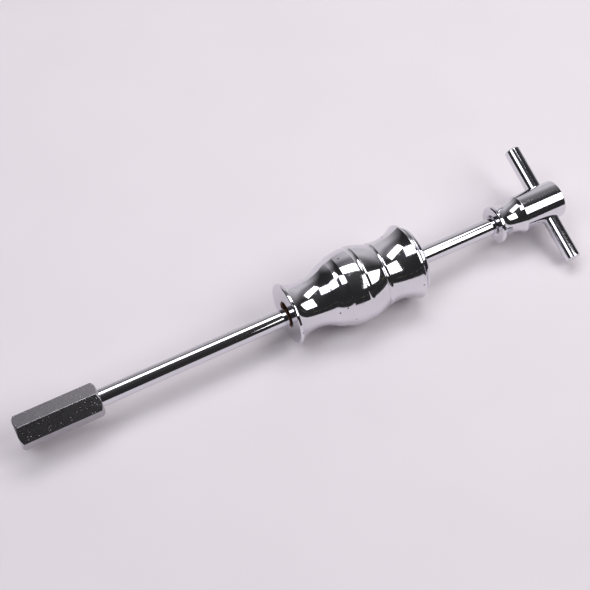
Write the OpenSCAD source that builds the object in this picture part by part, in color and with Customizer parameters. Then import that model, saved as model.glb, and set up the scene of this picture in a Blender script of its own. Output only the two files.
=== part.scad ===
// Slide hammer puller: a turned hammer that runs on a guide rod between a
// coupling nut, which takes the pulling tool, and a T handle.
// Millimetres. X runs along the rod from the nut to the handle, Z is up,
// and the floor that the hammer and the handle bar lie on is at z = 0.

/* [Guide rod] */
// Diameter of the guide rod
rod_d = 16; // [13:0.5:18]
// Length of rod that shows between the coupling nut and the handle hub
rod_run_len = 394; // [340:0.1:700]
// Shoulder depth where the rod is turned down for its screwed ends
rod_shoulder = 0.4; // [0.2:0.1:1.5]
// Length of the screwed end in the coupling nut
rod_nut_grip = 34; // [20:1:35]
// Length of full rod diameter inside the handle hub
rod_hub_register = 10; // [4:1:25]
// Bevel on the tips of both screwed ends
rod_tip_bevel = 1; // [0.4:0.1:2]

/* [Coupling nut] */
// Length of the coupling nut
nut_len = 73; // [66:1:110]
// Width across the flats of the hexagon
nut_flats = 27; // [23:0.5:34]
// How far the edge of the round end face lies inside the flats
nut_face_inset = 0.4; // [0.2:0.1:1.5]
// Angle of the chamfers that cut the six corners at both ends
nut_chamfer_angle = 44; // [15:1:50]
// Turn of one corner edge away from straight up, toward the front
nut_turn = 12.4; // [0:0.1:60]
// Core diameter of the tool thread in the open end
tool_bore_d = 14.5; // [10:0.1:15]
// Depth of the tool thread from the open end
tool_bore_len = 36; // [20:1:37]
// Widening of the thread's mouth, on the radius
tool_mouth_flare = 1; // [0.4:0.1:1.5]

/* [Hammer front] */
// Distance from the coupling nut to the hammer's front face at rest
hammer_place = 177.2; // [10:0.1:260]
// Diameter of the hammer's bore
hammer_bore_d = 22; // [19:0.5:28]
// Widening of the bore at both mouths, on the radius
hammer_mouth_flare = 1; // [0.4:0.1:2]
// Diameter of the front rim
front_rim_d = 56.6; // [54:0.1:60]
// Length of the front rim's cylindrical land, bevel included
front_rim_land = 2.6; // [1.5:0.1:5]
// Bevel between the front face and the rim
front_rim_bevel = 0.7; // [0.3:0.1:1.2]
// Diameter of the waist of the front flute
front_waist_d = 45; // [40:0.1:48]
// Radius of the front flute's hollow arc
front_flute_r = 32; // [28:0.5:36]
// Length from the front face to where the hollow arc turns into the shoulder
shoulder_start = 38; // [36:0.1:40]
// Length from the front face to the shoulder's sharp edge
shoulder_end = 45.3; // [44:0.1:47]
// Diameter at the shoulder's sharp edge
shoulder_edge_d = 61.5; // [60:0.1:62]

/* [Hammer belly] */
// Width of the cove between the shoulder and the belly
cove_w = 7.2; // [6:0.1:8]
// Radius of the cove's hollow arc
cove_r = 16; // [12:0.5:24]
// Length of the belly
belly_len = 37.8; // [36:0.1:39]
// Length from the belly's start to its largest diameter
crown_at = 16.8; // [15:0.1:18]
// Largest diameter of the belly
belly_d = 70.6; // [69:0.1:71]
// Radius of the belly's arc in front of the crown
belly_front_r = 75; // [60:1:100]
// Radius of the belly's arc behind the crown
belly_rear_r = 60; // [50:1:75]
// How far the top of that arc lies in front of the crown
belly_rear_lead = 5.5; // [3:0.1:7]
// Width of the groove round the crown
crown_groove_w = 5; // [2:0.1:6]
// Depth of the groove round the crown
crown_groove_depth = 0.7; // [0.3:0.1:1.2]
// Width of the groove between the belly and the rear flute
tail_groove_w = 4.8; // [3:0.1:6]
// Depth of the groove between the belly and the rear flute
tail_groove_depth = 0.8; // [0.4:0.1:1.2]

/* [Hammer rear] */
// Length from the belly's end to the end of the rear rim
rear_len = 32.6; // [30:0.1:34]
// Diameter of the waist of the rear flute
rear_waist_d = 58.4; // [55:0.1:59]
// Radius of the rear flute's hollow arc
rear_flute_r = 35; // [30:0.5:40]
// Diameter of the rear rim
rear_rim_d = 71.2; // [69:0.1:75]
// Length of the rear rim's cylindrical land
rear_rim_land = 1.5; // [0.8:0.1:3]
// Length of the bevel between the rear rim and the end face
rear_bevel_len = 7; // [3:0.1:9]
// Diameter of the flat end face
rear_face_d = 60; // [50:0.1:66]

/* [Handle hub] */
// Length of the handle hub
hub_len = 70; // [66:1:90]
// Diameter of the hub's cylinder
hub_d = 36; // [34:0.5:42]
// Diameter of the hub's flange
hub_flange_d = 35.6; // [33:0.1:40]
// Length of the flange up to the hollow of the neck
hub_flange_len = 3.1; // [2:0.1:6]
// Bevel on the flange's face edge
hub_flange_bevel = 1; // [0.4:0.1:1.8]
// Diameter of the hub's neck
hub_neck_d = 28.4; // [26:0.1:31]
// Radius of the neck's hollow arc
hub_neck_r = 22; // [18:0.5:26]
// Rounding of the hub's rear edge
hub_round_r = 1.5; // [0.5:0.1:3]
// Widening of the rod's hole at the flange face, on the radius
hub_mouth_flare = 2; // [0.5:0.1:2.5]

/* [Cross bar] */
// Diameter of the cross bar
bar_d = 15; // [12:0.5:18]
// Length of the cross bar
bar_len = 120; // [100:1:200]
// Bevel on both ends of the cross bar
bar_bevel = 1.1; // [0.4:0.1:2]
// Length from the flange face to the bar's axis
bar_at = 55.6; // [50:0.1:57]

/* [Clearances] */
// Gap between the rod and the bottom of the hammer's bore
bore_gap = 0.3; // [0.2:0.05:0.5]
// Clearance round the screwed ends and the rod's seat, on the radius
seat_gap = 0.05; // [0.02:0.01:0.1]
// Gap between the rod's rear end and the cross bar
bar_end_gap = 0.2; // [0.1:0.05:0.5]
// Height of the cross bar's lower end over the floor
bar_floor_gap = 7.1; // [0.2:0.1:12]

/* [Hidden] */
// Sides of the round curves, and of the hexagon
round_sides = 180;
hex_sides = 6;
hex_half_angle = 180 / hex_sides;
// Overrun of every cut past the face that it opens
cut_over = 1;

rod_r = rod_d / 2;
spigot_r = rod_r - rod_shoulder;
bore_r = hammer_bore_d / 2;
mouth_r = bore_r + hammer_mouth_flare;

// Stations along the hammer, from its front face
belly_start = shoulder_end + cove_w;
belly_stop = belly_start + belly_len;
rear_rim_stop = belly_stop + rear_len;
hammer_len = rear_rim_stop + rear_bevel_len;

// Front flute: an arc that hollows the waist and comes up to the front rim
front_rim_r = front_rim_d / 2;
front_arc_r = front_waist_d / 2 + front_flute_r;
front_rise = front_arc_r - front_rim_r;
front_arc_at = front_rim_land + sqrt(front_flute_r * front_flute_r - front_rise * front_rise);

// Shoulder: the round arc that leaves the flute without a kink at
// shoulder_start and ends in the sharp edge. Its centre lies on the line
// from the flute's centre through the joining point.
join_dx = shoulder_start - front_arc_at;
join_dr = -sqrt(front_flute_r * front_flute_r - join_dx * join_dx);
edge_dx = shoulder_end - shoulder_start;
edge_dr = shoulder_edge_d / 2 - (front_arc_r + join_dr);
edge_lift = (edge_dx * join_dx + edge_dr * join_dr) / front_flute_r;
shoulder_r = (edge_dx * edge_dx + edge_dr * edge_dr) / (2 * edge_lift);
shoulder_reach = (front_flute_r + shoulder_r) / front_flute_r;
shoulder_at = front_arc_at + join_dx * shoulder_reach;
shoulder_arc_r = front_arc_r + join_dr * shoulder_reach;
// The shoulder's arc runs this far into the flute's, so that the two cross
shoulder_over = shoulder_r / 10000;

// Belly: a front arc that is level at the crown, and a rear arc that leaves
// the crown's groove already falling
crown = belly_start + crown_at;
belly_crown_r = belly_d / 2;
belly_rear_at = crown - belly_rear_lead;
belly_rear_run = belly_rear_lead + crown_groove_w / 2;
belly_rear_arc_r = belly_crown_r - sqrt(belly_rear_r * belly_rear_r - belly_rear_run * belly_rear_run);

// Cove: a hollow arc from the shoulder's edge to the belly's front arc. Its
// centre lies out from the middle of the straight line between the two.
belly_start_r = belly_crown_r - belly_front_r + sqrt(belly_front_r * belly_front_r - crown_at * crown_at);
cove_rise = belly_start_r - shoulder_edge_d / 2;
cove_chord = sqrt(cove_w * cove_w + cove_rise * cove_rise);
cove_out = sqrt(cove_r * cove_r - cove_chord * cove_chord / 4);
cove_at = shoulder_end + cove_w / 2 - cove_out * cove_rise / cove_chord;
cove_arc_r = belly_start_r - cove_rise / 2 + cove_out * cove_w / cove_chord;

// Rear flute: its arc comes up to the rear rim
rear_rim_r = rear_rim_d / 2;
rear_arc_r = rear_waist_d / 2 + rear_flute_r;
rear_rise = rear_arc_r - rear_rim_r;
rear_rim_start = rear_rim_stop - rear_rim_land;
rear_arc_at = rear_rim_start - sqrt(rear_flute_r * rear_flute_r - rear_rise * rear_rise);

// Neck of the hub: its arc runs from the flange to the cylinder
hub_r = hub_d / 2;
flange_r = hub_flange_d / 2;
neck_arc_r = hub_neck_d / 2 + hub_neck_r;
neck_rise = neck_arc_r - flange_r;
neck_at = hub_flange_len + sqrt(hub_neck_r * hub_neck_r - neck_rise * neck_rise);

// Places along X, with the whole tool centred on x = 0
total_len = nut_len + rod_run_len + hub_len;
nut_x = -total_len / 2;
rod_x = nut_x + nut_len;
hammer_x = rod_x + hammer_place;
hub_x = rod_x + rod_run_len;
bar_x = hub_x + bar_at;

// Heights: the hammer lies on its widest ring and the rod on its bore
hammer_z = max(rear_rim_r, belly_crown_r);
rod_z = hammer_z - (bore_r - rod_r - bore_gap);

// Tilt of the bar that leaves the set height under its lower end
bar_r = bar_d / 2;
bar_half = bar_len / 2 - bar_bevel;
bar_reach = sqrt(bar_half * bar_half + bar_r * bar_r);
bar_tilt = asin(min(1, (rod_z - bar_floor_gap) / bar_reach)) - atan2(bar_r, bar_half);

// Lengths of the rod's rear end, from the flange face
rod_rear_len = bar_at - bar_r - bar_end_gap;

// A disc of the profile: radius first, station second
module slab(from, to, r) {
    translate([0, from])
        square([r, to - from]);
}

// An arc's full circle, in the half plane of the profile
module arc_disc(at, centre_r, r) {
    translate([centre_r, at])
        circle(r = r, $fn = round_sides);
}

// A stretch whose edge is a round arc
module round_span(from, to, at, centre_r, r) {
    if (centre_r > 0)
        slab(from, to, centre_r);
    intersection() {
        slab(from, to, centre_r + r);
        arc_disc(at, centre_r, r);
    }
}

// A round-bottomed groove of a given width and depth
module groove(at, edge_r, w, depth) {
    r = (w * w / 4 + depth * depth) / (2 * depth);
    arc_disc(at, edge_r - depth + r, r);
}

// Turns a profile about the X axis
module lathe() {
    rotate([0, 90, 0])
        rotate_extrude($fn = round_sides)
            children();
}

// A cylinder or cone along X
module bar_along_x(from, len, r1, r2) {
    translate([from, 0, 0])
        rotate([0, 90, 0])
            cylinder(h = len, r1 = r1, r2 = r2, $fn = round_sides);
}

// Radius of the rear flute's arc at a station
function rear_at(x) = rear_arc_r
    - sqrt(rear_flute_r * rear_flute_r - (x - rear_arc_at) * (x - rear_arc_at));

// Half of the hammer's lengthwise section
module hammer_profile() {
    // Front rim and the flute that hollows it
    difference() {
        union() {
            polygon([
                [0, 0],
                [front_rim_r - front_rim_bevel, 0],
                [front_rim_r, front_rim_bevel],
                [front_rim_r, front_arc_at],
                [0, front_arc_at]
            ]);
            slab(front_arc_at / 2, shoulder_start, front_arc_r);
        }
        arc_disc(front_arc_at, front_arc_r, front_flute_r);
    }
    // Shoulder, belly, rear flute and rear rim, cut by the cove between the
    // first two and by the grooves at the crown and tail
    difference() {
        union() {
            round_span(front_arc_at, shoulder_end + cove_w / 2, shoulder_at, shoulder_arc_r,
                shoulder_r + shoulder_over);
            round_span(shoulder_end + cove_w / 4, crown + crown_groove_w / 4, crown,
                belly_crown_r - belly_front_r, belly_front_r);
            round_span(crown - crown_groove_w / 4, belly_stop + tail_groove_w / 4, belly_rear_at,
                belly_rear_arc_r, belly_rear_r);
            difference() {
                slab(belly_stop - tail_groove_w / 4, rear_rim_stop, rear_rim_r);
                arc_disc(rear_arc_at, rear_arc_r, rear_flute_r);
            }
        }
        arc_disc(cove_at, cove_arc_r, cove_r);
        groove(crown, belly_crown_r, crown_groove_w, crown_groove_depth);
        groove(belly_stop, rear_at(belly_stop + tail_groove_w / 4), tail_groove_w, tail_groove_depth);
    }
    // Bevel from the rear rim down to the end face
    polygon([
        [0, rear_rim_stop],
        [rear_rim_r, rear_rim_stop],
        [rear_face_d / 2, hammer_len],
        [0, hammer_len]
    ]);
}

// Half of the hub's lengthwise section
module hub_profile() {
    difference() {
        union() {
            polygon([
                [0, 0],
                [flange_r - hub_flange_bevel, 0],
                [flange_r, hub_flange_bevel],
                [flange_r, neck_at],
                [0, neck_at]
            ]);
            slab(neck_at / 2, hub_len - hub_round_r, hub_r);
        }
        arc_disc(neck_at, neck_arc_r, hub_neck_r);
    }
    slab(hub_len - hub_round_r, hub_len, hub_r - hub_round_r);
    intersection() {
        slab(hub_len - hub_round_r, hub_len, hub_r);
        arc_disc(hub_len - hub_round_r, hub_r - hub_round_r, hub_round_r);
    }
}

// The rod with its two screwed ends, centred on its axis
module guide_rod() {
    color([0.80, 0.81, 0.84])
        translate([rod_x, 0, rod_z])
            lathe()
                polygon([
                    [0, -rod_nut_grip],
                    [spigot_r - rod_tip_bevel, -rod_nut_grip],
                    [spigot_r, rod_tip_bevel - rod_nut_grip],
                    [spigot_r, 0],
                    [rod_r, 0],
                    [rod_r, rod_run_len + rod_hub_register],
                    [spigot_r, rod_run_len + rod_hub_register + rod_shoulder],
                    [spigot_r, rod_run_len + rod_rear_len - rod_tip_bevel],
                    [spigot_r - rod_tip_bevel, rod_run_len + rod_rear_len],
                    [0, rod_run_len + rod_rear_len]
                ]);
}

// The long hexagon nut: tool thread in the open end, rod in the other
module coupling_nut() {
    corner_r = nut_flats / 2 / cos(hex_half_angle);
    face_r = nut_flats / 2 - nut_face_inset;
    chamfer_len = (corner_r - face_r) * tan(nut_chamfer_angle);
    color([0.56, 0.57, 0.60])
        translate([nut_x, 0, rod_z])
            difference() {
                intersection() {
                    rotate([nut_turn, 0, 0])
                        rotate([0, 90, 0])
                            cylinder(h = nut_len, r = corner_r, $fn = hex_sides);
                    lathe()
                        polygon([
                            [0, 0],
                            [face_r, 0],
                            [corner_r, chamfer_len],
                            [corner_r, nut_len - chamfer_len],
                            [face_r, nut_len],
                            [0, nut_len]
                        ]);
                }
                bar_along_x(-cut_over, tool_bore_len + cut_over, tool_bore_d / 2, tool_bore_d / 2);
                bar_along_x(0, tool_mouth_flare, tool_bore_d / 2 + tool_mouth_flare, tool_bore_d / 2);
                bar_along_x(tool_bore_len, nut_len - tool_bore_len + cut_over,
                    spigot_r + seat_gap, spigot_r + seat_gap);
            }
}

// The turned hammer with its bore
module slide_hammer() {
    color([0.84, 0.85, 0.88])
        translate([hammer_x, 0, hammer_z])
            difference() {
                lathe()
                    hammer_profile();
                bar_along_x(-cut_over, hammer_len + 2 * cut_over, bore_r, bore_r);
                bar_along_x(0, hammer_mouth_flare, mouth_r, bore_r);
                bar_along_x(hammer_len - hammer_mouth_flare, hammer_mouth_flare, bore_r, mouth_r);
            }
}

// The turned hub: rod from the flange side, bar across its cylinder
module handle_hub() {
    color([0.82, 0.83, 0.86])
        translate([hub_x, 0, rod_z])
            difference() {
                lathe()
                    hub_profile();
                bar_along_x(-cut_over, rod_hub_register + rod_shoulder + cut_over,
                    rod_r + seat_gap, rod_r + seat_gap);
                bar_along_x(0, hub_mouth_flare, rod_r + seat_gap + hub_mouth_flare, rod_r + seat_gap);
                bar_along_x(rod_hub_register, bar_at - rod_hub_register,
                    spigot_r + seat_gap, spigot_r + seat_gap);
                translate([bar_at, 0, 0])
                    rotate([bar_tilt - 90, 0, 0])
                        cylinder(h = hub_d + 2 * cut_over, r = bar_r + seat_gap, center = true,
                            $fn = round_sides);
            }
}

// The cross bar through the hub
module cross_bar() {
    color([0.80, 0.81, 0.84])
        translate([bar_x, 0, rod_z])
            rotate([bar_tilt - 90, 0, 0])
                rotate_extrude($fn = round_sides)
                    polygon([
                        [0, -bar_len / 2],
                        [bar_r - bar_bevel, -bar_len / 2],
                        [bar_r, -bar_half],
                        [bar_r, bar_half],
                        [bar_r - bar_bevel, bar_len / 2],
                        [0, bar_len / 2]
                    ]);
}

guide_rod();
coupling_nut();
slide_hammer();
handle_hub();
cross_bar();
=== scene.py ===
"""Looks of the slide hammer puller: turned chrome pieces and a zinc plated nut on a pale floor."""

import math

import bpy
import numpy as np
from bpy.props import FloatProperty, FloatVectorProperty, PointerProperty
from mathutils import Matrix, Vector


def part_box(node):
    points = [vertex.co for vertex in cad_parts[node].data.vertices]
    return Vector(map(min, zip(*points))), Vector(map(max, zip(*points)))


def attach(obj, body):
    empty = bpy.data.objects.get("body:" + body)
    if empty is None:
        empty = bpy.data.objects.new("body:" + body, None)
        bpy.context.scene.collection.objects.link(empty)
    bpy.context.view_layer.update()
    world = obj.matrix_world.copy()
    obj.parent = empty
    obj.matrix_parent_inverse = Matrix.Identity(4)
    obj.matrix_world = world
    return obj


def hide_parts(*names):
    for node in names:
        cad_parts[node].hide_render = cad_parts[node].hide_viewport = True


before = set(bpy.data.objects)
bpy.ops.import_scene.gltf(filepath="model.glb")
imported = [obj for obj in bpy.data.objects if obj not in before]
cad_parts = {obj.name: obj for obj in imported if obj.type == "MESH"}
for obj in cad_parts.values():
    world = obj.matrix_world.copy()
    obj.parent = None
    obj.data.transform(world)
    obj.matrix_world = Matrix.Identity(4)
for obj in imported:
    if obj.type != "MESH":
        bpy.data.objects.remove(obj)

bl_info = {
    "name": "Slide hammer puller",
    "version": (1, 0, 0),
    "blender": (4, 5, 0),
    "location": "3D View > Sidebar > Puller",
    "description": "Builds the pieces, finishes and studio of a slide hammer puller",
    "category": "Object",
}

# Lengths are in metres
MM = 0.001
MICRON = 1e-6
X_AXIS = np.array((1.0, 0.0, 0.0))
Y_AXIS = np.array((0.0, 1.0, 0.0))
Z_AXIS = np.array((0.0, 0.0, 1.0))

# Spacing of the points of a section before it is thinned, and a length too short to matter
PATH_STEP = 0.02 * MM
TINY = 1e-9
# Points on each arc of a section, and on the hammer's outline between its rims
ARC_POINTS = 300
OUTLINE_POINTS = 8000
# Points round one of the nut's corners and on one of its flats, and rings in one turn of its thread
CORNER_POINTS = 9
FLAT_POINTS = 11
TURN_RINGS = 12
# Sockets of a Mix node that blends colours
MIX_FACTOR, MIX_FIRST, MIX_SECOND, MIX_RESULT = 0, 6, 7, 2

# Rust spots on the hammer: station in mm from its front face, degrees round it from +Y, radius in mm
RUST_SPOTS = (
    (2, 167, 0.9), (57, 70, 1.3), (75, 48, 1.0), (49, 38, 0.7), (108, 43, 1.4),
    (121, 100, 0.8), (120, 167, 0.9), (39, 160, 1.0), (46, 153, 1.0), (52, 180, 0.7))

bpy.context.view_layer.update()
ROD_LOW, ROD_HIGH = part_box("guide_rod")
NUT_LOW, NUT_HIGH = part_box("coupling_nut")
HAMMER_LOW, HAMMER_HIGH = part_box("slide_hammer")
HUB_LOW, HUB_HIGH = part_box("handle_hub")
BAR_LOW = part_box("cross_bar")[0]
ROD_Z = (ROD_LOW.z + ROD_HIGH.z) / 2
HAMMER_Z = (HAMMER_LOW.z + HAMMER_HIGH.z) / 2


def size(name, default, description):
    """A length in metres, written here in millimetres."""
    return FloatProperty(name=name, description=description, default=default * MM,
                         min=0.0, unit="LENGTH", subtype="DISTANCE", precision=5)


def colour(name, default, description):
    """A linear colour."""
    return FloatVectorProperty(name=name, description=description, default=default,
                               size=3, min=0.0, max=1.0, subtype="COLOR")


def share(name, default, description):
    """A plain number from 0 up."""
    return FloatProperty(name=name, description=description, default=default, min=0.0)


def turn(name, default, description):
    """An angle, written here in degrees."""
    return FloatProperty(name=name, description=description, default=math.radians(default),
                         subtype="ANGLE", unit="ROTATION")


def spot(name, default, description):
    """A place or a span on the floor's plane, in metres."""
    return FloatVectorProperty(name=name, description=description, default=default,
                               size=2, unit="LENGTH", subtype="XYZ", precision=3)


class HammerSizes(bpy.types.PropertyGroup):
    """Sizes of the hammer; stations are lengths from its front face."""
    bore_d: size("Bore", 22, "Diameter of the bore")
    mouth_flare: size("Mouth flare", 1, "Widening of the bore at both mouths, on the radius")
    front_rim_d: size("Front rim", 56.6, "Diameter of the front rim")
    front_land: size("Front land", 2.6, "Length of the front rim's land")
    front_bevel: size("Front bevel", 0.7, "Bevel between the front face and the rim")
    front_waist_d: size("Front waist", 45, "Diameter of the front flute's waist")
    front_flute_r: size("Front flute", 32, "Radius of the front flute's hollow arc")
    shoulder_start: size("Shoulder start", 38, "Station where the flute turns into the shoulder")
    shoulder_end: size("Shoulder end", 45.3, "Station of the shoulder's sharp edge")
    shoulder_d: size("Shoulder edge", 61.5, "Diameter at the shoulder's sharp edge")
    cove_w: size("Cove width", 7.2, "Width of the cove between shoulder and belly")
    cove_r: size("Cove hollow", 16, "Radius of the cove's hollow arc")
    belly_len: size("Belly length", 37.8, "Length of the belly")
    crown_at: size("Crown place", 16.8, "Length from the belly's start to its crown")
    belly_d: size("Belly", 70.6, "Largest diameter of the belly")
    belly_front_r: size("Belly front arc", 75, "Radius of the belly's arc before the crown")
    belly_rear_r: size("Belly rear arc", 60, "Radius of the belly's arc behind the crown")
    belly_lead: size("Rear arc lead", 5.5, "How far the top of the rear arc lies before the crown")
    crown_groove_w: size("Crown groove width", 5, "Width of the groove round the crown")
    crown_groove_depth: size("Crown groove depth", 0.7, "Depth of the groove round the crown")
    tail_groove_w: size("Tail groove width", 4.8, "Width of the groove behind the belly")
    tail_groove_depth: size("Tail groove depth", 0.8, "Depth of the groove behind the belly")
    rear_len: size("Rear length", 32.6, "Length from the belly's end to the end of the rear rim")
    rear_waist_d: size("Rear waist", 58.4, "Diameter of the rear flute's waist")
    rear_flute_r: size("Rear flute", 35, "Radius of the rear flute's hollow arc")
    rear_rim_d: size("Rear rim", 71.2, "Diameter of the rear rim")
    rear_land: size("Rear land", 1.5, "Length of the rear rim's land")
    rear_end: size("Rear end", 7, "Length of the slope and collar behind the rear rim")
    rear_step: size("Rear step", 3.6, "Length of the slope from the rear rim down to the end collar")
    rear_nick: size("Rear nick", 0.5, "Depth of the fine groove before the end collar, on the radius")
    collar_r: size("End collar", 31.6, "Radius of the collar at the rear end")
    collar_slope: turn("Collar slope", 13, "Slope of the collar toward the end face")
    face_round: size("Face rounding", 2.2, "How far from the corner the end face's edge starts to round")
    edge: size("Edge", 0.4, "Width over which the turned edges are rounded")
    rust_reach: size("Rust reach", 1.4, "How far patches of rust spread from the mouth over the front face")
    # The rust colour fills the mouth flare and the bore wall down to the rust depth: real rust at the mouth,
    # painted shade deeper in the bore
    rust_edge: size("Rust edge", 0.2, "Width over which the rust ends at the mouth")
    darkening_depth: size("Rust depth", 9, "Depth in the bore at which the rust ends")
    darkening_fade: size("Rust fade", 4, "Length over which the rust in the bore fades")


class NutSizes(bpy.types.PropertyGroup):
    """Sizes of the long hexagon nut."""
    flats: size("Across flats", 27, "Width across the flats")
    corner_r: size("Corner rounding", 0.55, "Radius of the hexagon's six long edges")
    face_r: size("Face radius", 13.1, "Radius of the round end faces")
    chamfer: turn("Chamfer", 44, "Angle of the chamfers on the corners")
    corner_turn: turn("Turn", 12.4, "Turn of one corner away from straight up, to the front")
    core_r: size("Thread core", 7.25, "Radius of the thread's crests")
    thread_depth: size("Thread depth", 0.8, "Depth of the thread")
    pitch: size("Pitch", 1.5, "Pitch of the thread")
    thread_len: size("Thread length", 36, "Depth of the threaded hole")
    sink: size("Countersink start", 0.2, "Depth at which the countersink's rounding starts")
    mouth_r: size("Mouth radius", 8.25, "Radius of the hole's countersink at the face")
    seat_r: size("Seat radius", 7.65, "Radius of the hole on the rod's side")
    edge: size("Edge", 0.3, "Width over which the edges of the faces are rounded")


class RodSizes(bpy.types.PropertyGroup):
    """Sizes of the guide rod."""
    diameter: size("Rod", 16, "Diameter of the guide rod")
    spigot_d: size("Spigot", 15.2, "Diameter of the screwed ends")
    nut_grip: size("Grip in the nut", 34, "Length of the screwed end in the nut")
    register: size("Register", 10, "Length of full diameter inside the hub")
    tip_bevel: size("Tip bevel", 1, "Bevel on both tips")
    edge: size("Edge", 0.3, "Width over which the edges are rounded")


class HandleSizes(bpy.types.PropertyGroup):
    """Sizes of the T handle: hub and cross bar."""
    hub_d: size("Hub", 36, "Diameter of the hub's cylinder")
    flange_d: size("Flange", 35.6, "Diameter of the flange")
    flange_len: size("Flange length", 3.1, "Length of the flange")
    flange_bevel: size("Flange bevel", 1, "Bevel on the flange's face edge")
    neck_d: size("Neck", 28.4, "Diameter of the neck")
    neck_r: size("Neck arc", 22, "Radius of the neck's hollow arc")
    round_r: size("Rear rounding", 1.5, "Rounding of the hub's rear edge")
    mouth_flare: size("Mouth flare", 2, "Countersink round the rod, on the radius")
    bar_at: size("Bar place", 55.6, "Length from the flange face to the bar's axis")
    bar_d: size("Bar", 15, "Diameter of the cross bar")
    bar_len: size("Bar length", 120, "Length of the cross bar")
    bar_bevel: size("Bar bevel", 1.1, "Bevel on both ends of the bar")
    seat_gap: size("Seat gap", 0.05, "Gap round the rod in its hole, on the radius")
    edge: size("Edge", 0.35, "Width over which the edges are rounded")
    rust_reach: size("Rust reach", 2.2, "How far patches of rust spread from the rod over the mouth")
    rust_start: size("Rust start", 0.6, "Distance from the rod within which those patches are full")
    darkening_depth: size("Rust depth", 3, "Depth in the mouth at which the rust ends")
    darkening_fade: size("Rust fade", 1, "Length over which the rust in the mouth fades")


class FinishColours(bpy.types.PropertyGroup):
    """Colours of the metals and of what has marked them."""
    chrome: colour("Chrome", (0.71, 0.705, 0.75), "Polished chrome plate")
    chrome_haze: colour("Chrome haze", (0.62, 0.62, 0.64), "Chrome where it is scuffed")
    zinc: colour("Zinc", (0.515, 0.50, 0.54), "Satin zinc plate")
    zinc_dark: colour("Dark zinc", (0.465, 0.45, 0.48), "Zinc plate in its pores")
    fleck: colour("Fleck", (0.85, 0.85, 0.88), "Bright flecks in the zinc plate")
    # This rust colour is also painted over the hammer's bore wall as painted shade
    rust: colour("Rust", (0.13, 0.055, 0.025), "Rust in pits and at the bore mouths")
    floor: colour("Floor", (0.78, 0.737, 0.77), "The pale floor")


class FinishScales(bpy.types.PropertyGroup):
    """How close the patterns in the finishes lie, in cells per metre."""
    waves: share("Waves", 60, "Slow waves in the chrome")
    patches: share("Patches", 160, "Scuffed patches on the chrome")
    grain: share("Grain", 2600, "Fine grain in the chrome's polish")
    across_lines: share("Across the lines", 1500, "Turning lines in the chrome, counted across them")
    along_lines: share("Along the lines", 12, "Turning lines in the chrome, counted along them")
    pits: share("Pits", 260, "Pin pits in the chrome")
    rust: share("Rust", 75, "Specks of rust in the chrome")
    clouds: share("Clouds", 180, "Mottling of the zinc")
    across_marks: share("Across the marks", 900, "Drawing marks in the zinc, counted across them")
    along_marks: share("Along the marks", 25, "Drawing marks in the zinc, counted along them")
    zinc_grain: share("Zinc grain", 3200, "Fine grain of the zinc")
    flecks: share("Flecks", 800, "Bright flecks in the zinc")


class StudioSizes(bpy.types.PropertyGroup):
    """The camera, the floor, the lamps and the dark hall round them."""
    lens: share("Lens", 67.1, "Focal length in millimetres on a 36 mm sensor")
    eye: FloatVectorProperty(name="Camera place", description="Where the camera stands", size=3,
                             default=(-0.2587, -0.4726, 0.8444), unit="LENGTH", subtype="TRANSLATION")
    pitch: turn("Camera pitch", 34.25, "Turn of the camera up from straight down")
    heading: turn("Camera heading", -27.75, "Turn of the camera about the vertical")
    shadow_floor: size("Shadow floor", 700, "Radius within which the floor takes shadows")
    plain_floor: size("Plain floor", 1500, "Radius from which the floor shows its plain colour")
    lamp_height: size("Lamp height", 1400, "Height of the three lamps over the floor")
    key_at: spot("Key place", (0.281, 0.444), "Place of the overhead lamp")
    key_span: spot("Key span", (1.19, 0.61), "Length and width of the overhead lamp")
    key_roll: turn("Key turn", -25, "Turn of the overhead lamp about the vertical")
    key: share("Key", 4.2, "Radiance of the overhead lamp")
    fill_at: spot("Fill place", (1.40, -1.00), "Place of the lamp at the front right")
    fill_span: spot("Fill span", (1.96, 1.36), "Length and width of the lamp at the front right")
    fill: share("Fill", 3.8, "Radiance of the lamp at the front right")
    side_at: spot("Side place", (-0.80, 0.01), "Place of the lamp at the left")
    side_span: spot("Side span", (0.96, 0.73), "Length and width of the lamp at the left")
    side: share("Side", 3.6, "Radiance of the lamp at the left")
    side_tint: colour("Side tint", (0.92, 0.92, 1.0), "Cool tint of the lamp at the left")
    sky_height: size("Sky height", 2400, "Height of the wide weak lamp over all of it")
    sky_span: spot("Sky span", (3.2, 3.2), "Length and width of the wide weak lamp")
    sky: share("Sky", 0.28, "Radiance of the wide weak lamp")
    hall_radius: size("Hall radius", 3400, "Radius of the dark hall's dome")
    hall_tint: colour("Hall tint", (1.0, 0.965, 1.0), "Tint of the hall's light")
    hall_dark: share("Hall dark", 0.027, "Radiance of the hall where it is darkest")
    zenith: share("Zenith", 0.04, "Radiance added at the top of the dome")
    wall: share("Wall", 0.65, "Radiance of the pale wall behind the tool")
    strip_rise: share("Strip height", 0.29, "Sine of the angle at which the warm strip lies over the floor")
    strip: share("Strip", 0.16, "Radiance of the warm strip in front of the tool")
    strip_tint: colour("Strip tint", (1.0, 0.92, 0.45), "Warm tint of the strip")


# Shader trees

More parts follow.
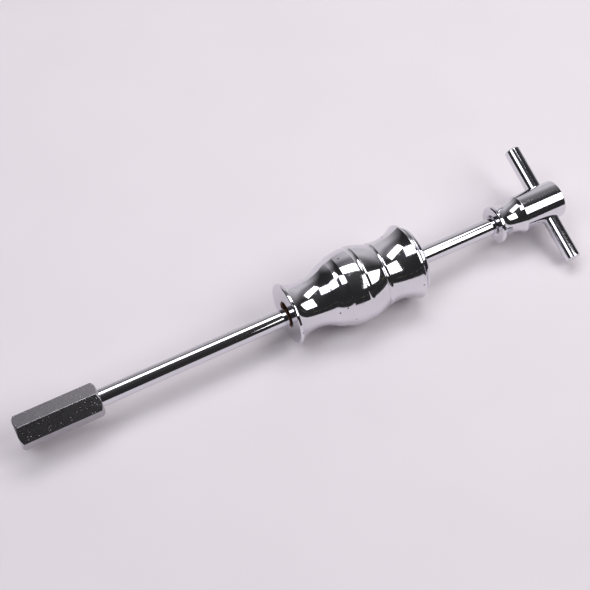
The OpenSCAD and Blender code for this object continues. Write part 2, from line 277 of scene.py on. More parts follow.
class Wire:
    """A socket of a shader tree; arithmetic on it adds Math nodes."""

    def __init__(self, board, socket):
        self.board = board
        self.socket = socket

    def maths(self, operation, *values):
        """A Math node on the given wires and numbers."""
        return self.board.node("ShaderNodeMath", {"operation": operation}, dict(enumerate(values)))

    def __add__(self, other):
        return self.maths("ADD", self, other)

    def __sub__(self, other):
        return self.maths("SUBTRACT", self, other)

    def __rsub__(self, other):
        return self.maths("SUBTRACT", other, self)

    def __mul__(self, other):
        return self.maths("MULTIPLY", self, other)

    def __truediv__(self, other):
        return self.maths("DIVIDE", self, other)

    def __pow__(self, other):
        return self.maths("POWER", self, other)

    def above(self, other):
        """The larger of two values."""
        return self.maths("MAXIMUM", self, other)

    def below(self, other):
        """The smaller of two values."""
        return self.maths("MINIMUM", self, other)

    def unsigned(self):
        """The value without its sign."""
        return self.maths("ABSOLUTE", self)

    def other(self, output):
        """Another output of the same node."""
        return Wire(self.board, self.socket.node.outputs[output])

    def step(self, low, high):
        """0 up to low, 1 from high on, and a smooth rise between; low may lie above high."""
        return self.board.node(
            "ShaderNodeMapRange", {"interpolation_type": "SMOOTHSTEP", "clamp": True},
            {"Value": self, "From Min": low, "From Max": high})

    __radd__ = __add__
    __rmul__ = __mul__


class Board:
    """The node tree of a material or of the world."""

    def __init__(self, owner):
        owner.use_nodes = True
        self.tree = owner.node_tree
        self.tree.nodes.clear()

    def node(self, kind, settings=None, inputs=None, output=0):
        """A node of one kind, its settings set before its sockets; returns one of its outputs, if any."""
        made = self.tree.nodes.new(kind)
        for key, value in (settings or {}).items():
            setattr(made, key, value)
        for key, value in (inputs or {}).items():
            if isinstance(value, Wire):
                self.tree.links.new(value.socket, made.inputs[key])
            else:
                made.inputs[key].default_value = value
        return Wire(self, made.outputs[output]) if made.outputs else None

    def place(self):
        """Object coordinates in metres."""
        return self.node("ShaderNodeTexCoord", output="Object")

    def parts(self, vector):
        """X, Y and Z of a vector."""
        made = self.node("ShaderNodeSeparateXYZ", inputs={"Vector": vector})
        return [made.other(axis) for axis in "XYZ"]

    def about_rod(self, vector, height):
        """Station along a level axis at a height over the floor, and distance from that axis."""
        x, y, z = self.parts(vector)
        return x, (y * y + (z - height) * (z - height)) ** 0.5

    def stretch(self, vector, scale):
        """The vector times a scale."""
        return self.node("ShaderNodeMapping", {"vector_type": "POINT"}, {"Vector": vector, "Scale": scale})

    def noise(self, vector, scale, detail=2.0, rough=0.5):
        """Noise from 0 to 1 with its middle at a half."""
        return self.node("ShaderNodeTexNoise", {"noise_dimensions": "3D"},
                         {"Vector": vector, "Scale": scale, "Detail": detail, "Roughness": rough})

    def specks(self, vector, scale, radius, chance):
        """1 in scattered round specks that fade at their edge, 0 between them.

        scale is cells per metre, radius in cells, and chance the share of cells that have a speck.
        """
        full, draw = 0.45, 0.02
        cell = self.node("ShaderNodeTexVoronoi", {"voronoi_dimensions": "3D", "feature": "F1"},
                         {"Vector": vector, "Scale": scale})
        luck = self.node("ShaderNodeSeparateColor", inputs={"Color": cell.other("Color")})
        return cell.step(radius, radius * full) * luck.step(chance + draw, chance)

    def near(self, vector, centre, radius):
        """1 near a point, fading from half the radius out to the radius."""
        away = self.node("ShaderNodeVectorMath", {"operation": "DISTANCE"},
                         {0: vector, 1: centre}, "Value")
        return away.step(radius, radius * 0.5)

    def mix(self, factor, first, second):
        """A blend of two colours."""
        first, second = (shade if isinstance(shade, Wire) else (*shade, 1.0) for shade in (first, second))
        return self.node("ShaderNodeMix", {"data_type": "RGBA"},
                         {MIX_FACTOR: factor, MIX_FIRST: first, MIX_SECOND: second}, MIX_RESULT)

    def bump(self, height):
        """A normal from a height in metres."""
        return self.node("ShaderNodeBump", inputs={"Height": height, "Distance": 1.0, "Strength": 1.0})

    def surface(self, shader, kind="ShaderNodeOutputMaterial"):
        """Ends the tree in its surface output."""
        self.node(kind, inputs={"Surface": shader})


def metal(name, paint):
    """A metal material; paint(board, place) gives colour, roughness, normal and metallic."""
    made = bpy.data.materials.new(name)
    board = Board(made)
    tone, rough, normal, bare = paint(board, board.place())
    board.surface(board.node("ShaderNodeBsdfPrincipled", inputs={
        "Base Color": tone, "Roughness": rough, "Normal": normal, "Metallic": bare}))
    return made


def chrome_paint(rust_and_shade_mask=None, drawn=False, haze=0.5, waves=5 * MICRON, polish=0.075):
    """Polished chrome: slow waves, faint fine lines, scuffs, pin pits and specks of rust.

    rust_and_shade_mask(board, place, patch) gives further rust, with patch a cloudy noise; on the hammer it
    also gives painted shade over the bore wall in the rust colour. The lines run round X or, on a drawn
    piece, along it. haze is how strongly the plate is scuffed, waves the height of its slow waves, and polish
    its roughness where it is clean.
    """
    line_height, pit_depth, patch_share = 0.25 * MICRON, 2 * MICRON, 0.12

    def paint(board, place):
        colours, scales = bpy.context.scene.puller_finish, bpy.context.scene.puller_scales
        across, along = scales.across_lines, scales.along_lines
        grooves = (along, across, across) if drawn else (across, along, along)
        slow = board.noise(place, scales.waves)
        patch = board.noise(place, scales.patches, 3.0, 0.6)
        grain = board.noise(place, scales.grain, 2.0, 0.6)
        lines = board.noise(board.stretch(place, grooves), 1.0)
        scuff = patch.step(0.50, 0.78) * haze
        pits = board.specks(place, scales.pits, 0.10, 0.10)
        rust = board.specks(place, scales.rust, 0.045, 0.16)
        # Besides real rust, the mask adds painted shade in the rust colour over the hammer's bore wall
        if rust_and_shade_mask:
            rust = rust.above(rust_and_shade_mask(board, place, patch))
        clean = board.mix(scuff * 0.6, tuple(colours.chrome), tuple(colours.chrome_haze))
        tone = board.mix(rust, clean, tuple(colours.rust))
        rough = polish + scuff * 0.06 + grain.step(0.45, 0.8) * 0.03 + pits * 0.2 + rust * 0.5
        height = slow * waves + patch * (waves * patch_share) + lines * line_height - pits * pit_depth
        return tone, rough, board.bump(height), 1.0 - rust * 0.85
    return paint


def zinc_paint(board, place):
    """Satin zinc plate: mottled, with bright flecks and lengthwise drawing marks."""
    mark_height, grain_height, cloud_height = MICRON, 2 * MICRON, 4 * MICRON
    colours, scales = bpy.context.scene.puller_finish, bpy.context.scene.puller_scales
    across, along = scales.across_marks, scales.along_marks
    cloud = board.noise(place, scales.clouds, 4.0, 0.65)
    marks = board.noise(board.stretch(place, (along, across, across)), 1.0, 3.0)
    grain = board.noise(place, scales.zinc_grain, 3.0, 0.7)
    flecks = board.specks(place, scales.flecks, 0.36, 0.11)
    tone = board.mix(cloud.step(0.62, 0.36) * 0.6, tuple(colours.zinc), tuple(colours.zinc_dark))
    tone = board.mix(flecks * 0.8, tone, tuple(colours.fleck))
    rough = 0.16 + cloud * 0.05 + grain * 0.05 + flecks * 0.35
    height = marks * mark_height + grain * grain_height + cloud * cloud_height
    return tone, rough, board.bump(height), 1.0


# Profiles

def arc(at, centre_r, radius, start, stop, side):
    """Points of a circle between two stations: r = centre_r + side * sqrt(radius^2 - (x - at)^2)."""
    angles = np.linspace(math.asin((start - at) / radius), math.asin((stop - at) / radius), ARC_POINTS)
    return np.column_stack((at + radius * np.sin(angles), centre_r + side * radius * np.cos(angles)))


def fine_path(points, closed, edge):
    """Points evenly spaced along the polyline, then rounded by two running means of half the edge's width."""
    points = np.vstack((points, points[:1])) if closed else points
    gaps = np.hypot(*np.diff(points, axis=0).T)
    keep = np.concatenate(([True], gaps > TINY))
    points = points[keep]
    run = np.concatenate(([0.0], np.cumsum(np.hypot(*np.diff(points, axis=0).T))))
    count = int(run[-1] / PATH_STEP)
    marks = np.linspace(0.0, run[-1], count, endpoint=not closed)
    path = np.column_stack([np.interp(marks, run, points[:, k]) for k in (0, 1)])
    width = max(3, int(edge / 2 / PATH_STEP) | 1)
    half = width // 2
    for _ in range(2):
        if closed:
            padded = np.vstack((path[-half:], path, path[:half]))
        else:
            padded = np.vstack((2 * path[0] - path[half:0:-1], path, 2 * path[-1] - path[-2:-half - 2:-1]))
        sums = np.cumsum(np.vstack((np.zeros((1, 2)), padded)), axis=0)
        path = (sums[width:] - sums[:-width]) / width
    return path


def rings(path, closed, reach, bend):
    """Picks points of the path so that none is further apart than reach or turns by more than bend.

    Each point also gets the path's direction there. The cost of a stretch is its length over reach
    plus its turning over bend, and the points lie at even steps of that cost.
    """
    if closed:
        ahead, behind = np.roll(path, -1, axis=0), np.roll(path, 1, axis=0)
    else:
        ahead = np.vstack((path[1:], 2 * path[-1] - path[-2]))
        behind = np.vstack((2 * path[0] - path[1], path[:-1]))
    way = ahead - behind
    way /= np.maximum(np.hypot(*way.T), TINY)[:, None]
    angle = np.unwrap(np.arctan2(way[:, 1], way[:, 0]))
    cost = np.hypot(*np.diff(path, axis=0).T) / reach + np.abs(np.diff(angle)) / bend
    total = np.concatenate(([0.0], np.cumsum(cost)))
    count = int(math.ceil(total[-1]))
    picks = np.searchsorted(total, np.linspace(0.0, total[-1], count, endpoint=not closed))
    picks = np.unique(np.clip(picks, 0, len(path) - 1))
    return path[picks], way[picks]


def mesh_object(name, points, quads, normals=None, triangles=None):
    """A smooth mesh object at the origin from whole arrays of points, faces and normals."""
    mesh = bpy.data.meshes.new(name)
    faces = quads.tolist() + ([] if triangles is None else triangles.tolist())
    mesh.from_pydata(points.tolist(), [], faces)
    mesh.polygons.foreach_set("use_smooth", np.ones(len(faces), dtype=bool))
    if normals is not None:
        mesh.normals_split_custom_set_from_vertices(normals.tolist())
    mesh.update()
    made = bpy.data.objects.new(name, mesh)
    bpy.context.scene.collection.objects.link(made)
    return made


def grid_quads(rows, sides, closed):
    """Quads of a grid of rows of points round an axis, as an array of four corners each."""
    row = np.arange(rows if closed else rows - 1)[:, None]
    side = np.arange(sides)[None, :]
    after_row, after_side = (row + 1) % rows, (side + 1) % sides
    corners = [row * sides + side, row * sides + after_side,
               after_row * sides + after_side, after_row * sides + side]
    return np.stack([np.broadcast_to(c, (len(row), sides)) for c in corners], axis=-1).reshape(-1, 4)


def turned(name, profile, base, axis, across, edge, reach, bend, sides=160, closed=False):
    """A turned piece: each profile point (x, r) goes to base + x axis + r (cos t across + sin t third).

    Its edges are rounded over a width of edge, and its rings lie no further apart than reach and
    turn by no more than bend. An open profile starts and ends on the axis, where one point closes it.
    """
    path = fine_path(profile, closed, edge)
    path, way = rings(path, closed, reach, bend)
    third = np.cross(axis, across)
    angles = np.arange(sides) * (2 * math.pi / sides)
    out = np.cos(angles)[:, None] * across + np.sin(angles)[:, None] * third
    points = base + path[:, :1, None] * axis + path[:, 1:, None] * out
    normals = -way[:, 1:, None] * axis + way[:, :1, None] * out
    if closed:
        quads = grid_quads(len(path), sides, True)
        return mesh_object(name, points.reshape(-1, 3), quads, normals.reshape(-1, 3))
    body = points[1:-1].reshape(-1, 3)
    first, last = len(body), len(body) + 1
    side = np.arange(sides)
    after = (side + 1) % sides
    top = len(body) - sides
    caps = np.concatenate((
        np.column_stack((after, side, np.full(sides, first))),
        np.column_stack((top + side, top + after, np.full(sides, last)))))
    ends = base + path[[0, -1], :1] * axis
    facing = np.sign(-way[[0, -1], 1:]) * axis
    return mesh_object(
        name, np.vstack((body, ends)), grid_quads(len(path) - 2, sides, False),
        np.vstack((normals[1:-1].reshape(-1, 3), facing)), caps)


def curve(x, at, centre_r, radius, side):
    """Radius of a circle over a station: its far side for 1, its near side for -1.

    Past the circle the near side is infinite, so that as a cut it takes nothing away.
    """
    under = radius ** 2 - (x - at) ** 2
    return np.where(under > 0, centre_r + side * np.sqrt(np.maximum(under, 0.0)), -side * np.inf)


def eased(before, corner, after, reach, count=40):
    """A corner rounded by the parabola that leaves both of its sides at a given distance."""
    before, corner, after = (np.array(point) for point in (before, corner, after))
    back = corner + (before - corner) * (reach / math.dist(before, corner))
    on = corner + (after - corner) * (reach / math.dist(after, corner))
    t = np.linspace(0.0, 1.0, count)[:, None]
    return (1 - t) ** 2 * back + 2 * t * (1 - t) * corner + t ** 2 * on


def hammer_profile(s):
    """The hammer's closed section, from the front mouth of its bore over the outside to the rear mouth.

    Between the rims the radius is that of the flute, shoulder, belly or rear flute in turn, and no
    more than that of the cove and of the two grooves, which are circles cut out of it. Behind the
    rear rim a slope leads down to a fine groove and the end collar, whose edge is rounded.
    """
    bore, mouth = s.bore_d / 2, s.bore_d / 2 + s.mouth_flare
    belly_start = s.shoulder_end + s.cove_w
    belly_stop = belly_start + s.belly_len
    rim_stop = belly_stop + s.rear_len
    length = rim_stop + s.rear_end
    rim_r, rear_r = s.front_rim_d / 2, s.rear_rim_d / 2

    # The front flute's circle, and the shoulder's, which touches it where the flute ends
    flute_c = s.front_waist_d / 2 + s.front_flute_r
    flute_at = s.front_land + math.sqrt(s.front_flute_r ** 2 - (flute_c - rim_r) ** 2)
    join_dx = s.shoulder_start - flute_at
    join_dr = -math.sqrt(s.front_flute_r ** 2 - join_dx ** 2)
    edge_dx = s.shoulder_end - s.shoulder_start
    edge_dr = s.shoulder_d / 2 - (flute_c + join_dr)
    lift = (edge_dx * join_dx + edge_dr * join_dr) / s.front_flute_r
    shoulder_r = (edge_dx ** 2 + edge_dr ** 2) / (2 * lift)
    reach = (s.front_flute_r + shoulder_r) / s.front_flute_r

    # The belly's front circle, and the cove's through the shoulder's edge and the belly's start
    crown, crown_r = belly_start + s.crown_at, s.belly_d / 2
    front_c = crown_r - s.belly_front_r
    start_r = front_c + math.sqrt(s.belly_front_r ** 2 - s.crown_at ** 2)
    rise = start_r - s.shoulder_d / 2
    chord = math.hypot(s.cove_w, rise)
    out = math.sqrt(s.cove_r ** 2 - chord ** 2 / 4)
    cove_at = s.shoulder_end + s.cove_w / 2 - out * rise / chord
    cove_c = start_r - rise / 2 + out * s.cove_w / chord

    # The belly's rear circle, the rear flute's, and the radius from which the tail groove is cut
    rear_run = s.belly_lead + s.crown_groove_w / 2
    belly_c = crown_r - math.sqrt(s.belly_rear_r ** 2 - rear_run ** 2)
    rear_c = s.rear_waist_d / 2 + s.rear_flute_r
    rear_at = rim_stop - s.rear_land - math.sqrt(s.rear_flute_r ** 2 - (rear_c - rear_r) ** 2)
    tail_r = rear_c - math.sqrt(s.rear_flute_r ** 2 - (belly_stop + s.tail_groove_w / 4 - rear_at) ** 2)

    x = np.linspace(s.front_land, rim_stop - s.rear_land, OUTLINE_POINTS)
    outer = np.select(
        [x < s.shoulder_start, x < s.shoulder_end + s.cove_w / 2, x < crown, x < belly_stop],
        [curve(x, flute_at, flute_c, s.front_flute_r, -1),
         curve(x, flute_at + join_dx * reach, flute_c + join_dr * reach, shoulder_r, 1),
         curve(x, crown, front_c, s.belly_front_r, 1),
         curve(x, crown - s.belly_lead, belly_c, s.belly_rear_r, 1)],
        curve(x, rear_at, rear_c, s.rear_flute_r, -1))
    cuts = [curve(x, cove_at, cove_c, s.cove_r, -1)]
    for at, edge_r, width, depth in ((crown, crown_r, s.crown_groove_w, s.crown_groove_depth),
                                     (belly_stop, tail_r, s.tail_groove_w, s.tail_groove_depth)):
        radius = (width * width / 4 + depth * depth) / (2 * depth)
        cuts.append(curve(x, at, edge_r - depth + radius, radius, -1))
    outer = np.minimum.reduce([outer, *cuts])
    step_stop = rim_stop + s.rear_step
    collar = (length, s.collar_r - (length - step_stop) * math.tan(s.collar_slope))
    return np.vstack((
        [(s.mouth_flare, bore), (0.0, mouth), (0.0, rim_r - s.front_bevel), (s.front_bevel, rim_r)],
        np.column_stack((x, outer)),
        [(rim_stop, rear_r), (step_stop - s.rear_nick, s.collar_r - s.rear_nick),
         (step_stop, s.collar_r - s.rear_nick), (step_stop, s.collar_r)],
        eased((step_stop, s.collar_r), collar, (length, 0.0), s.face_round),
        [(length, mouth), (length - s.mouth_flare, bore)],
    ))


def hub_profile(s, length, rod):
    """The hub's section, from the bottom of the rod's hole out to the face, neck, cylinder and rear end.

    The neck is a hollow arc that starts at the flange's radius and ends at the cylinder's.
    """
    hub_r, flange_r = s.hub_d / 2, s.flange_d / 2
    seat, thread = rod.diameter / 2 + s.seat_gap, rod.spigot_d / 2 + s.seat_gap
    neck_c = s.neck_d / 2 + s.neck_r
    neck_at = s.flange_len + math.sqrt(s.neck_r ** 2 - (neck_c - flange_r) ** 2)
    neck_end = neck_at + math.sqrt(s.neck_r ** 2 - (neck_c - hub_r) ** 2)
    rear_at = length - s.round_r
    return np.vstack((
        [(s.bar_at, 0.0), (s.bar_at, thread), (rod.register + seat - thread, thread),
         (rod.register, seat), (s.mouth_flare, seat), (0.0, seat + s.mouth_flare),
         (0.0, flange_r - s.flange_bevel), (s.flange_bevel, flange_r)],
        arc(neck_at, neck_c, s.neck_r, s.flange_len, neck_end, -1),
        arc(rear_at, hub_r - s.round_r, s.round_r, rear_at, length - MICRON, 1),
        [(length, hub_r - s.round_r), (length, 0.0)],
    ))


def bevelled_bar(low, high, radius, bevel):
    """Section of a plain round bar with bevelled ends."""
    return np.array([(low, 0.0), (low, radius - bevel), (low + bevel, radius),
                     (high - bevel, radius), (high, radius - bevel), (high, 0.0)])


def rounded_rows(corners, widths, steps=6):
    """Rows of a section with every corner rounded by a parabola of its own width, for all columns at once.

    corners is rows x columns x 2, and a width of 0 keeps the corner as one row.
    """
    rows = []
    t = np.linspace(0.0, 1.0, steps)[:, None, None]
    for k, width in enumerate(widths):
        here = corners[k]
        if width == 0.0:
            rows.append(here[None])
            continue
        # Both ways are measured from the corner, so its own term of the parabola is naught
        back, on = corners[k - 1] - here, corners[k + 1] - here
        back *= width / np.maximum(np.linalg.norm(back, axis=1), TINY)[:, None]
        on *= width / np.maximum(np.linalg.norm(on, axis=1), TINY)[:, None]
        rows.append(here + (1 - t) ** 2 * back + t ** 2 * on)
    return np.concatenate(rows)


def nut_columns(s):
    """Angles and radii of the hexagon's outline, close together on the rounded corners and beside them.

    Each corner is an arc of corner_r about a point on the hexagon's diagonal, and straight flats
    join one arc's end to the next one's start. shares are places on a flat, in parts of its length.
    """
    centre = (s.flats / 2 - s.corner_r) / math.cos(math.pi / 6)
    bend = np.radians(np.linspace(-30.0, 30.0, CORNER_POINTS))
    corner = np.column_stack((centre + s.corner_r * np.cos(bend), s.corner_r * np.sin(bend)))
    far = np.array((math.cos(math.pi / 3), math.sin(math.pi / 3)))
    next_start = centre * far + s.corner_r * np.array((math.cos(math.pi / 6), math.sin(math.pi / 6)))
    shares = np.concatenate(([0.02], np.linspace(0.08, 0.92, FLAT_POINTS), [0.98]))[:, None]
    flat = corner[-1] + shares * (next_start - corner[-1])
    sixth = np.vstack((corner, flat))
    angle = np.arctan2(sixth[:, 1], sixth[:, 0])
    angles = (angle[None, :] + np.arange(6)[:, None] * (math.pi / 3)).ravel()
    return angles, np.tile(np.hypot(*sixth.T), 6)


def nut_mesh(s, name, base, length):
    """The nut's closed ring: thread, countersink, face, chamfer, flats, chamfer, face and rod hole.

    The thread's radius is core + depth times a wave of (x / pitch + angle / full turn), which is
    steep enough to leave narrow flats on its crests and roots.
    """
    angles, outline = nut_columns(s)
    count = len(angles)
    ones = np.ones(count)
    stations = np.arange(s.thread_len - s.pitch, s.sink, -s.pitch / TURN_RINGS)[:, None]
    phase = stations / s.pitch + angles[None, :] / (2 * math.pi)
    steepness, crest = 1.35, 0.15
    wave = np.clip(steepness * np.abs(2 * (phase % 1.0) - 1) - crest, 0.0, 1.0)
    thread = s.core_r + s.thread_depth * wave
    sink = s.mouth_r - stations
    thread = np.maximum(thread, sink)
    thread_rows = np.stack((np.broadcast_to(stations, thread.shape), thread), axis=-1)
    chamfer = np.maximum(outline - s.face_r, 0.0) * math.tan(s.chamfer)
    guard = 1.5 * s.edge

    def ring(x, r):
        return np.column_stack((x * ones, r * ones))

    outer = np.stack((
        ring(s.sink, s.mouth_r - s.sink), ring(0.0, s.mouth_r), ring(0.0, s.face_r),
        ring(chamfer, outline), ring(chamfer + guard, outline), ring(length / 2, outline),
        ring(length - chamfer - guard, outline), ring(length - chamfer, outline),
        ring(length, s.face_r), ring(length, s.seat_r), ring(s.thread_len, s.seat_r),
        ring(s.thread_len, s.core_r)))
    widths = [0.0, s.edge / 3, s.edge, s.edge, 0.0, 0.0, 0.0, s.edge, s.edge, s.edge / 3, 0.0, 0.0]
    # The first row only gives the mouth's edge its direction, as the thread's rows end beside it
    rows = np.concatenate((thread_rows, rounded_rows(outer, widths)[1:]))
    turned_angle = angles + math.pi / 2 + s.corner_turn
    out = np.cos(turned_angle)[:, None] * Y_AXIS + np.sin(turned_angle)[:, None] * Z_AXIS
    points = base + rows[..., :1] * X_AXIS + rows[..., 1:] * out
    return mesh_object(name, points.reshape(-1, 3), grid_quads(len(rows), count, True))


def dress(piece, node, body, material):
    """Gives a piece its material and its body, and lets it stand for its CAD node."""
    piece.data.materials.append(material)
    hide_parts(node)
    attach(piece, body)


class PULLER_OT_hammer(bpy.types.Operator):
    """Builds the turned hammer"""
    bl_idname = "puller.hammer"
    bl_label = "Hammer"

    def execute(self, context):
        s = context.scene.puller_hammer
        base = np.array((HAMMER_LOW.x, 0.0, HAMMER_Z))
        profile = hammer_profile(s)
        piece = turned("hammer_turned", profile, base, X_AXIS, Y_AXIS, edge=s.edge,
                       reach=1.8 * MM, bend=math.radians(5), sides=224, closed=True)
        mouth_r = s.bore_d / 2 + s.mouth_flare

        # Rust round the front mouth with patches over the face, and the rust colour painted over the bore
        # wall behind it as painted shade
        def mouth_darkening(board, place, patch):
            x, radius = board.about_rod(place, HAMMER_Z)
            # Full over the mouth flare and the whole bore wall out to the depth: real rust at the mouth,
            # painted shade deeper in the bore
            wall = radius.step(mouth_r + s.rust_edge, mouth_r - s.rust_edge / 2)
            halo = radius.step(mouth_r + s.rust_reach, mouth_r - s.rust_edge) * patch.step(0.42, 0.56)
            deep = HAMMER_LOW.x + s.darkening_depth
            return wall.above(halo) * x.step(deep, deep - s.darkening_fade)

        def marks(board, place, patch):
            spots = mouth_darkening(board, place, patch)
            skin = profile[profile[:, 1] > mouth_r]
            for station, angle, radius in RUST_SPOTS:
                reach = np.interp(station * MM, skin[:, 0], skin[:, 1])
                out = math.cos(math.radians(angle)) * Y_AXIS + math.sin(math.radians(angle)) * Z_AXIS
                centre = base + station * MM * X_AXIS + reach * out
                spots = spots.above(board.near(place, tuple(centre), radius * MM))
            return spots

        dress(piece, "slide_hammer", "hammer", metal("hammer_chrome", chrome_paint(marks)))
        return {"FINISHED"}


class PULLER_OT_rod(bpy.types.Operator):
    """Builds the guide rod"""
    bl_idname = "puller.rod"
    bl_label = "Guide rod"

    def execute(self, context):
        s = context.scene.puller_rod
        low, high = ROD_LOW.x, ROD_HIGH.x
        face, stop = low + s.nut_grip, HUB_LOW.x + s.register
        radius, spigot = s.diameter / 2, s.spigot_d / 2
        profile = np.array([
            (low, 0.0), (low, spigot - s.tip_bevel), (low + s.tip_bevel, spigot), (face, spigot),
            (face, radius), (stop, radius), (stop + radius - spigot, spigot),
            (high - s.tip_bevel, spigot), (high, spigot - s.tip_bevel), (high, 0.0)])
        piece = turned("guide_rod_turned", profile, ROD_Z * Z_AXIS, X_AXIS, Y_AXIS, edge=s.edge,
                       reach=8 * MM, bend=math.radians(10))
        paint = chrome_paint(drawn=True, haze=0.4, waves=3 * MICRON, polish=0.045)
        dress(piece, "guide_rod", "shaft", metal("rod_chrome", paint))
        return {"FINISHED"}


class PULLER_OT_nut(bpy.types.Operator):
    """Builds the coupling nut with its thread"""
    bl_idname = "puller.nut"
    bl_label = "Coupling nut"

    def execute(self, context):
        base = np.array((NUT_LOW.x, 0.0, ROD_Z))
        piece = nut_mesh(context.scene.puller_nut, "coupling_nut_hex", base, NUT_HIGH.x - NUT_LOW.x)
        dress(piece, "coupling_nut", "shaft", metal("nut_zinc", zinc_paint))
        return {"FINISHED"}


class PULLER_OT_handle(bpy.types.Operator):
    """Builds the hub and the cross bar"""
    bl_idname = "puller.handle"
    bl_label = "T handle"

    def execute(self, context):
        s = context.scene.puller_handle
        rod = context.scene.puller_rod
        rod_r, bar_r = rod.diameter / 2, s.bar_d / 2
        base = np.array((HUB_LOW.x, 0.0, ROD_Z))
        profile = hub_profile(s, HUB_HIGH.x - HUB_LOW.x, rod)
        hub = turned("handle_hub_turned", profile, base, X_AXIS, Y_AXIS, edge=s.edge,
                     reach=1.6 * MM, bend=math.radians(5), sides=208)

        def mouth_darkening(board, place, patch):
            x, radius = board.about_rod(place, ROD_Z)
            near = radius.step(rod_r + s.rust_reach, rod_r + s.rust_start)
            deep = HUB_LOW.x + s.darkening_depth
            return near * x.step(deep, deep - s.darkening_fade) * patch.step(0.46, 0.60) * 0.8

        dress(hub, "handle_hub", "shaft", metal("hub_chrome", chrome_paint(mouth_darkening)))

        # The bar's lowest point, which the CAD box gives, lies where its side meets its bevel
        half = s.bar_len / 2
        side_len = half - s.bar_bevel
        tilt = math.asin((ROD_Z - BAR_LOW.z) / math.hypot(side_len, bar_r)) - math.atan2(bar_r, side_len)
        axis = np.array((0.0, math.cos(tilt), math.sin(tilt)))
        bar = turned("cross_bar_turned", bevelled_bar(-half, half, bar_r, s.bar_bevel),
                     base + s.bar_at * X_AXIS, axis, X_AXIS, edge=s.edge, reach=2.5 * MM,
                     bend=math.radians(6))
        paint = chrome_paint(drawn=True, haze=0.9, waves=3 * MICRON)
        dress(bar, "cross_bar", "shaft", metal("bar_chrome", paint))
        return {"FINISHED"}


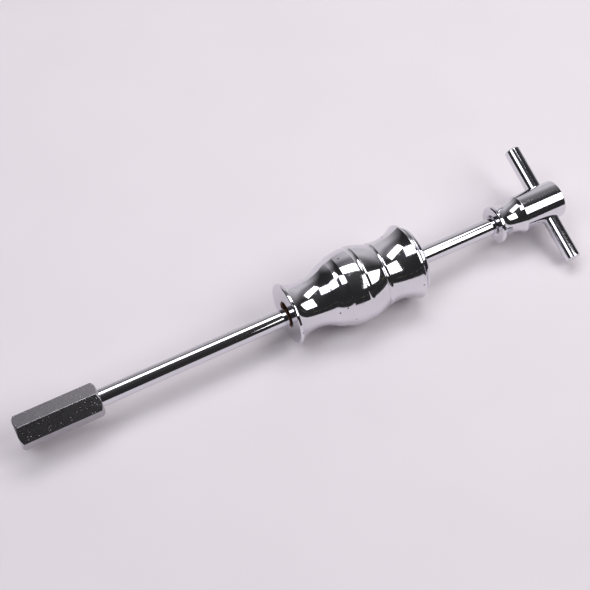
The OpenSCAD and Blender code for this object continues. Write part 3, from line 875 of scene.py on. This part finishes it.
class PULLER_OT_stage(bpy.types.Operator):
    """Builds the floor, the dark studio round it, the lamps and the camera"""
    bl_idname = "puller.stage"
    bl_label = "Studio"

    def execute(self, context):
        scene = context.scene
        s, tone = scene.puller_studio, tuple(scene.puller_finish.floor)
        scene.view_settings.view_transform = "Standard"

        camera = bpy.data.objects.new("camera", bpy.data.cameras.new("camera"))
        camera.data.lens = s.lens
        camera.data.sensor_width = 36.0
        camera.data.clip_start, camera.data.clip_end = 0.05, 60.0
        camera.location = s.eye
        camera.rotation_euler = (s.pitch, 0.0, s.heading)
        scene.collection.objects.link(camera)
        scene.camera = camera

        self.floor(s, tone)
        self.hall(s)
        self.lamp("key_lamp", s.key_at, s.lamp_height, s.key_span, s.key, roll=s.key_roll)
        self.lamp("fill_lamp", s.fill_at, s.lamp_height, s.fill_span, s.fill)
        self.lamp("side_lamp", s.side_at, s.lamp_height, s.side_span, s.side, tint=s.side_tint)
        self.lamp("sky_lamp", (0.0, 0.0), s.sky_height, s.sky_span, s.sky, mirrored=False)

        world = bpy.data.worlds.new("World studio")
        scene.world = world
        board = Board(world)
        shade = board.node("ShaderNodeBackground", inputs={"Color": (*tone, 1.0), "Strength": 1.0})
        board.surface(shade, "ShaderNodeOutputWorld")
        return {"FINISHED"}

    def lamp(self, name, place, height, span, radiance, roll=0.0, tint=(1.0, 1.0, 1.0), mirrored=True):
        """A flat lamp that shines down; the camera doesn't see it, and the chrome only if it is mirrored."""
        data = bpy.data.lights.new(name, "AREA")
        data.shape = "RECTANGLE"
        data.size, data.size_y = span
        data.energy = radiance * math.pi * span[0] * span[1]
        data.color = tint
        made = bpy.data.objects.new(name, data)
        made.location = (*place, height)
        made.rotation_euler = (0.0, 0.0, roll)
        made.visible_camera = False
        made.visible_glossy = mirrored
        bpy.context.scene.collection.objects.link(made)

    def floor(self, s, tone):
        """A wide pale floor that stays as pale far off as it is near the tool."""
        half_width, cloudy, cloud_scale = 30.0, 0.985, 9.0
        corners = np.array(((-1, -1, 0), (1, -1, 0), (1, 1, 0), (-1, 1, 0))) * half_width
        plane = mesh_object("floor", corners, np.array(((0, 1, 2, 3),)))
        made = bpy.data.materials.new("floor_pale")
        board = Board(made)
        place = board.place()
        x, y, _ = board.parts(place)
        far = ((x * x + y * y) ** 0.5).step(s.shadow_floor, s.plain_floor)
        path = board.node("ShaderNodeLightPath", output="Is Camera Ray")
        seen = path.above(path.other("Is Glossy Ray")).above(path.other("Is Transmission Ray"))
        clouds = board.noise(place, cloud_scale).step(0.3, 0.7)
        paper = board.mix(clouds, tone, tuple(level * cloudy for level in tone))
        matt = board.node("ShaderNodeBsdfDiffuse", inputs={"Color": paper, "Roughness": 0.5})
        glow = board.node("ShaderNodeEmission", inputs={"Color": (*tone, 1.0), "Strength": 1.0})
        board.surface(board.node("ShaderNodeMixShader", inputs={0: far * seen, 1: matt, 2: glow}))
        plane.data.materials.append(made)

    def hall(self, s):
        """The dark hall that the chrome mirrors, pale behind the tool; the camera doesn't see it."""
        rows, sides, pole_gap = 25, 48, 0.02
        rise = np.linspace(0.0, math.pi / 2 - pole_gap, rows)[:, None]
        around = (np.arange(sides) * 2 * math.pi / sides)[None, :]
        points = np.stack((np.cos(rise) * np.cos(around), np.cos(rise) * np.sin(around),
                           np.sin(rise) * np.ones_like(around)), axis=-1) * s.hall_radius
        dome = mesh_object("dark_hall", points.reshape(-1, 3), grid_quads(rows, sides, False)[:, ::-1])
        made = bpy.data.materials.new("dark_hall")
        board = Board(made)
        way = board.node("ShaderNodeVectorMath", {"operation": "NORMALIZE"}, {0: board.place()})
        x, y, z = board.parts(way)

        # The wall grows pale toward one side and is darker high up
        wall_x, wall_y, wall_start, wall_gain, wall_power = 0.53, 0.848, 0.5, 2.08, 1.7
        fade_low, fade_high, fade = 0.40, 0.72, 0.70
        level = ((x * x + y * y) ** 0.5).above(pole_gap)
        toward = (x * wall_x + y * wall_y) / level
        wall = ((toward - wall_start) * wall_gain).above(0.0).below(1.0) ** wall_power
        wall = wall * (1.0 - z.step(fade_low, fade_high) * fade) * s.wall

        # The warm strip is broken by gaps and lies only on the side of the camera
        strip_edge, strip_core, front, zenith_power = 0.016, 0.006, -0.3, 8.0
        gaps = board.noise(board.stretch(way, (6.0, 6.0, 1.0)), 1.0).step(0.42, 0.62)
        strip = (z - s.strip_rise).unsigned().step(strip_edge, strip_core) * y.step(0.0, front) * gaps
        shine = (z.above(0.0) ** zenith_power) * s.zenith
        strength = wall + shine + strip * s.strip + s.hall_dark
        tone = board.mix(strip, tuple(s.hall_tint), tuple(s.strip_tint))
        tone = board.node("ShaderNodeVectorMath", {"operation": "SCALE"}, {0: tone, "Scale": strength})
        board.surface(board.node("ShaderNodeEmission", inputs={"Color": tone, "Strength": 1.0}))
        dome.data.materials.append(made)
        dome.visible_camera = False


class PULLER_PT_panel(bpy.types.Panel):
    """Lists the pieces of the puller"""
    bl_label = "Slide hammer puller"
    bl_space_type = "VIEW_3D"
    bl_region_type = "UI"
    bl_category = "Puller"

    def draw(self, context):
        for operator in OPERATORS:
            self.layout.operator(operator.bl_idname)
        for name in GROUPS:
            box = self.layout.box()
            group = getattr(context.scene, name)
            for key in group.__annotations__:
                box.prop(group, key)


OPERATORS = (PULLER_OT_stage, PULLER_OT_hammer, PULLER_OT_rod, PULLER_OT_nut, PULLER_OT_handle)
GROUPS = {
    "puller_hammer": HammerSizes,
    "puller_nut": NutSizes,
    "puller_rod": RodSizes,
    "puller_handle": HandleSizes,
    "puller_finish": FinishColours,
    "puller_scales": FinishScales,
    "puller_studio": StudioSizes,
}


def register():
    """Registers the sizes, the operators and the panel."""
    for name, group in GROUPS.items():
        bpy.utils.register_class(group)
        setattr(bpy.types.Scene, name, PointerProperty(type=group))
    for made in (*OPERATORS, PULLER_PT_panel):
        bpy.utils.register_class(made)


def unregister():
    """Takes back what register did."""
    for made in (PULLER_PT_panel, *reversed(OPERATORS)):
        bpy.utils.unregister_class(made)
    for name, group in GROUPS.items():
        delattr(bpy.types.Scene, name)
        bpy.utils.unregister_class(group)


def main():
    """Builds everything."""
    register()
    bpy.ops.puller.stage()
    bpy.ops.puller.hammer()
    bpy.ops.puller.rod()
    bpy.ops.puller.nut()
    bpy.ops.puller.handle()


if __name__ == "__main__":
    main()
